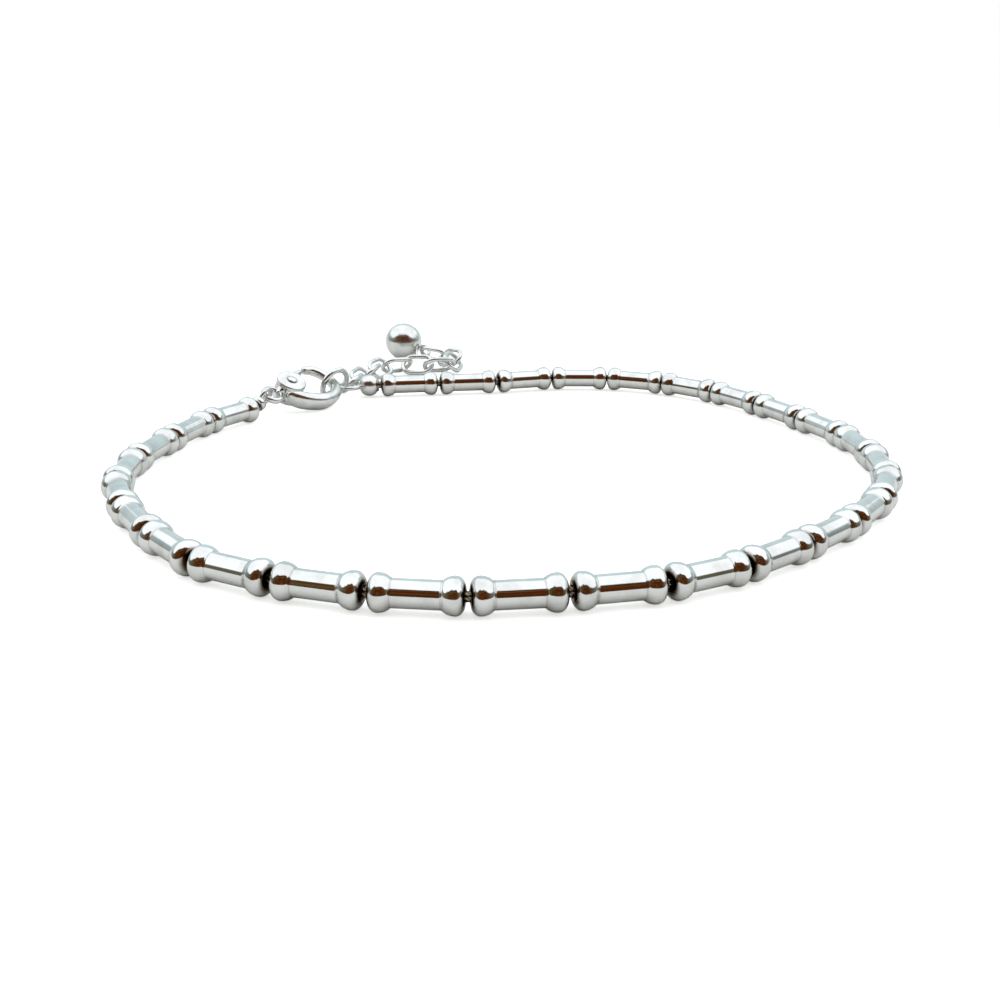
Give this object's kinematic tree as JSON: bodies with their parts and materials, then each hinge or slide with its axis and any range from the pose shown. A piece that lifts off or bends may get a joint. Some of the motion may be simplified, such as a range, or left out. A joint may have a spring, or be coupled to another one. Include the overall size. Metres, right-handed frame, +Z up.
{
  "type": "beaded bracelet",
  "caption": "Bracelet of turned silver bone-shaped beads strung on wire, closed by a lobster clasp, with a short extension chain ending in a round drop, lying flat.",
  "frame": {"origin": "on the surface that the bracelet lies on, under the middle of its bounding box", "axes": "+Z up from the surface, +Y away from the viewer towards the clasp and the extension chain, +X to the viewer's right"},
  "size_m": [0.065, 0.0776, 0.0044],
  "materials": {
    "silver": "polished silver, slightly cool, with soft darker reflections",
    "wire": "fine stringing wire, satin"
  },
  "bodies": {
    "bracelet": {"bead_01": "silver", "bead_02": "silver", "bead_03": "silver", "bead_04": "silver", "bead_05": "silver", "bead_06": "silver", "bead_07": "silver", "bead_08": "silver", "bead_09": "silver", "bead_10": "silver", "bead_11": "silver", "bead_12": "silver", "bead_13": "silver", "bead_14": "silver", "bead_15": "silver", "bead_16": "silver", "bead_17": "silver", "bead_18": "silver", "bead_19": "silver", "bead_20": "silver", "bead_21": "silver", "bead_22": "silver", "bead_23": "silver", "bead_24": "silver", "bead_25": "silver", "bead_26": "silver", "bead_27": "silver", "bead_28": "silver", "end_cap": "silver", "end_crimp": "silver", "clasp": "silver", "end_ring": "silver", "chain_link_01": "silver", "chain_link_02": "silver", "chain_link_03": "silver", "chain_link_04": "silver", "chain_link_05": "silver", "chain_link_06": "silver", "chain_link_07": "silver", "chain_link_08": "silver", "chain_link_09": "silver", "chain_link_10": "silver", "chain_drop": "silver", "string_wire": "wire"},
    "lever": {"clasp_lever": "silver"}
  },
  "joints": [
    {"name": "lever_hinge", "type": "hinge", "parent": "bracelet", "child": "lever", "pos_m": [-0.02234, 0.01128, 0.00226], "axis": [-0.3847, 0.3194, -0.866], "range_deg": [0, 28], "stiffness_Nm_per_rad": 0.0003}
  ]
}
